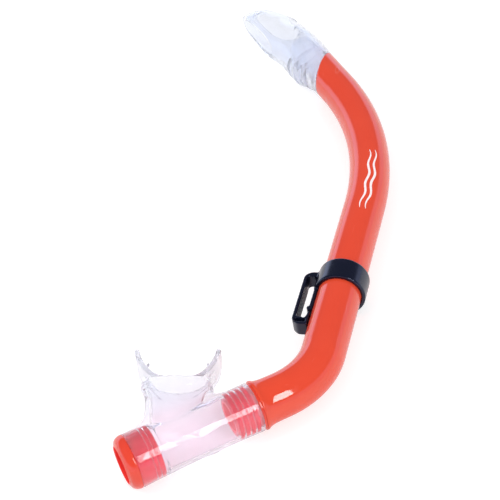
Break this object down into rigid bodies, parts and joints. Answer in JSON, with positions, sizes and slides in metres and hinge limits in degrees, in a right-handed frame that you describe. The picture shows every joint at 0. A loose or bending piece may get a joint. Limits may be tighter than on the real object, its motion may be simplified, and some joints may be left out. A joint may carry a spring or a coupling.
{
  "type": "snorkel tube",
  "caption": "Curved snorkel with a slanted top, clear splash guard, black mask-strap keeper and a clear swivelling mouthpiece ending in a purge valve.",
  "frame": {"origin": "middle of the keeper's strap slot, on the tube's plane, with the keeper at rest", "axes": "+Y along the tube's straight run towards the splash guard, +Z square to the tube's plane on the side the mouthpiece's port leans to, +X from the strap slot towards the tube"},
  "size_m": [0.143, 0.4452, 0.0446],
  "materials": {
    "tube_red": "glossy bent tube",
    "moulded_red": "glossy moulding",
    "clear_silicone": "clear soft silicone",
    "valve_silicone": "thin translucent silicone",
    "keeper_black": "satin moulding",
    "clear_pvc": "clear moulding"
  },
  "bodies": {
    "tube": {"main_tube": "tube_red", "barbed_connector": "moulded_red", "splash_hood": "clear_pvc", "splash_socket": "clear_pvc"},
    "keeper": {"strap_keeper": "keeper_black"},
    "mouth_unit": {"mouthpiece": "clear_silicone", "purge_housing": "moulded_red", "purge_seat": "moulded_red"},
    "valve": {"purge_valve_disc": "valve_silicone"}
  },
  "joints": [
    {"name": "keeper_slide", "type": "slide", "parent": "tube", "child": "keeper", "axis": [0, 1, 0], "range_m": [-0.008, 0.06]},
    {"name": "mouthpiece_swivel", "type": "hinge", "parent": "tube", "child": "mouth_unit", "pos_m": [-0.01039, -0.08378, 0], "axis": [-0.788, -0.6157, 0], "continuous": true},
    {"name": "valve_lift", "type": "slide", "parent": "mouth_unit", "child": "valve", "axis": [-0.788, -0.6157, 0], "range_m": [0, 0.0012]}
  ]
}
